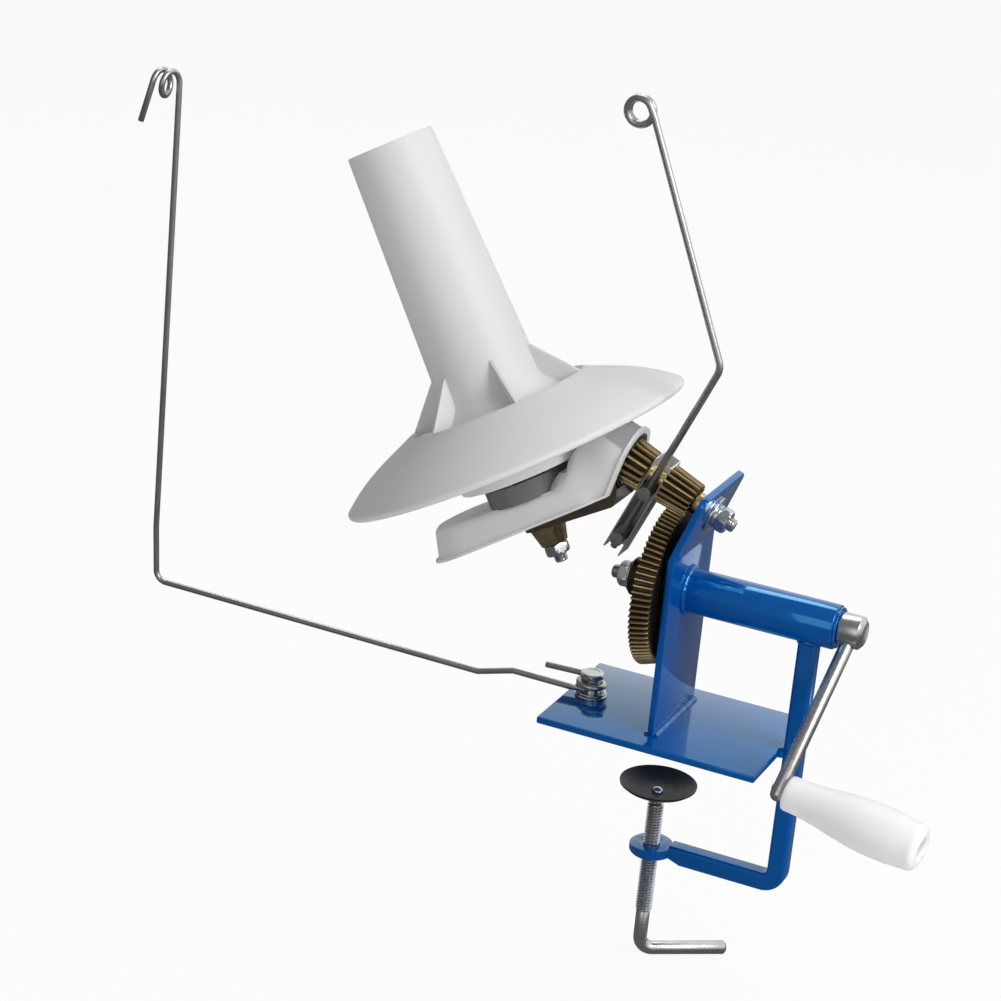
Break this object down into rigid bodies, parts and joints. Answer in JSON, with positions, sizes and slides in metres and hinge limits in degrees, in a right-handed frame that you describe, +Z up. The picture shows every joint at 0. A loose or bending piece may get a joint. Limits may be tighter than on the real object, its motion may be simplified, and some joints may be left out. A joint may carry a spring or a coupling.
{
  "type": "yarn ball winder",
  "caption": "Table-clamp yarn ball winder: a crank and bevel gears turn a tilted cone and the wire flyer round it; wire yarn guide.",
  "frame": {"origin": "centre of the base plate's underside, on the table top", "axes": "+X towards the crank, +Y away from the front, +Z up from the table; the crank's, the flyer's and the cone's axes lie in the plane y = 0"},
  "size_m": [0.5195, 0.203, 0.5013],
  "materials": {
    "blue_paint": "glossy blue enamel",
    "brass_bush": "turned, dull",
    "bolt_steel": "bright zinc plate",
    "brown_paint": "dark brown enamel",
    "white_plastic": "smooth moulded, white",
    "bronze": "gold-brown sintered metal",
    "crank_steel": "bright drawn steel",
    "grip_plastic": "smooth moulded, off-white",
    "channel_zinc": "bright zinc plate",
    "wire_steel": "bright drawn wire",
    "clip_steel": "dull grey",
    "pad_steel": "dark grey-green, satin",
    "screw_steel": "bright zinc plate"
  },
  "bodies": {
    "frame": {"base_plate": "blue_paint", "post_plate": "blue_paint", "crank_tube": "blue_paint", "clamp_bar": "blue_paint", "tube_bush_left": "brass_bush", "tube_bush_right": "brass_bush", "main_shaft": "bolt_steel", "head_washer": "bolt_steel", "spring_washer": "bolt_steel", "head_nut": "bolt_steel", "shaft_collar": "brass_bush", "thrust_washer": "bolt_steel", "spindle_arm": "brown_paint", "spindle_shaft": "bolt_steel", "spindle_foot_nut": "bolt_steel", "spindle_top_nut": "bolt_steel", "gear_washer": "bolt_steel", "gear_housing": "white_plastic", "housing_screw": "bolt_steel", "idler_pin": "bolt_steel", "pivot_bolt": "bolt_steel", "pivot_washer": "bolt_steel"},
    "crank": {"crank_shaft": "bolt_steel", "drive_gear": "bronze", "gear_hub": "bronze", "crank_washer": "bolt_steel", "crank_nut": "bolt_steel", "crank_hub": "crank_steel", "crank_arm": "crank_steel", "grip_pin": "crank_steel"},
    "grip": {"hand_grip": "grip_plastic"},
    "flyer": {"pinion_sleeve": "brass_bush", "lower_pinion": "bronze", "upper_pinion": "bronze", "bevel_pinion": "bronze", "flyer_channel": "channel_zinc", "flyer_wire": "wire_steel", "upper_clip": "clip_steel", "lower_clip": "clip_steel"},
    "idler": {"idler_gear": "bronze"},
    "cone": {"yarn_cone": "white_plastic", "winding_tube": "white_plastic", "cone_hub": "white_plastic", "cone_ribs": "white_plastic", "cone_bush": "brass_bush", "spindle_gear": "bronze"},
    "guide": {"yarn_guide": "wire_steel"},
    "pad": {"clamp_pad": "pad_steel"},
    "screw": {"clamp_screw": "screw_steel"}
  },
  "joints": [
    {"name": "crank_spin", "type": "hinge", "parent": "frame", "child": "crank", "pos_m": [0, 0, 0.0825], "axis": [1, 0, 0], "continuous": true},
    {"name": "grip_spin", "type": "hinge", "parent": "crank", "child": "grip", "pos_m": [0.0834, -0.05642, 0.00708], "axis": [0.9914, -0.0782, -0.1045], "continuous": true},
    {"name": "flyer_spin", "type": "hinge", "parent": "frame", "child": "flyer", "pos_m": [0.00455, 0, 0.13135], "axis": [-0.9367, 0, 0.3502], "continuous": true},
    {"name": "idler_spin", "type": "hinge", "parent": "frame", "child": "idler", "pos_m": [-0.06116, 0, 0.12446], "axis": [-0.506, 0, 0.8625], "continuous": true},
    {"name": "cone_spin", "type": "hinge", "parent": "frame", "child": "cone", "pos_m": [-0.1383, 0, 0.18476], "axis": [-0.506, 0, 0.8625], "continuous": true},
    {"name": "guide_swing", "type": "hinge", "parent": "frame", "child": "guide", "pos_m": [-0.0515, 0, 0.008], "axis": [0, 0, 1], "range_deg": [-90, 90]},
    {"name": "clamp_slide", "type": "slide", "parent": "frame", "child": "pad", "axis": [0, 0, 1], "range_m": [-0.02, 0.034]},
    {"name": "clamp_turn", "type": "hinge", "parent": "pad", "child": "screw", "pos_m": [-0.0045, 0, -0.1], "axis": [0, 0, 1], "range_deg": [-4300, 7200]}
  ],
  "couplings": [
    {"joint": "flyer_spin", "follows": "crank_spin", "ratio": 4.5},
    {"joint": "idler_spin", "follows": "crank_spin", "ratio": -2.5312},
    {"joint": "cone_spin", "follows": "crank_spin", "ratio": 1.7259},
    {"joint": "clamp_turn", "follows": "clamp_slide", "rad_per_m": 3590.4}
  ]
}
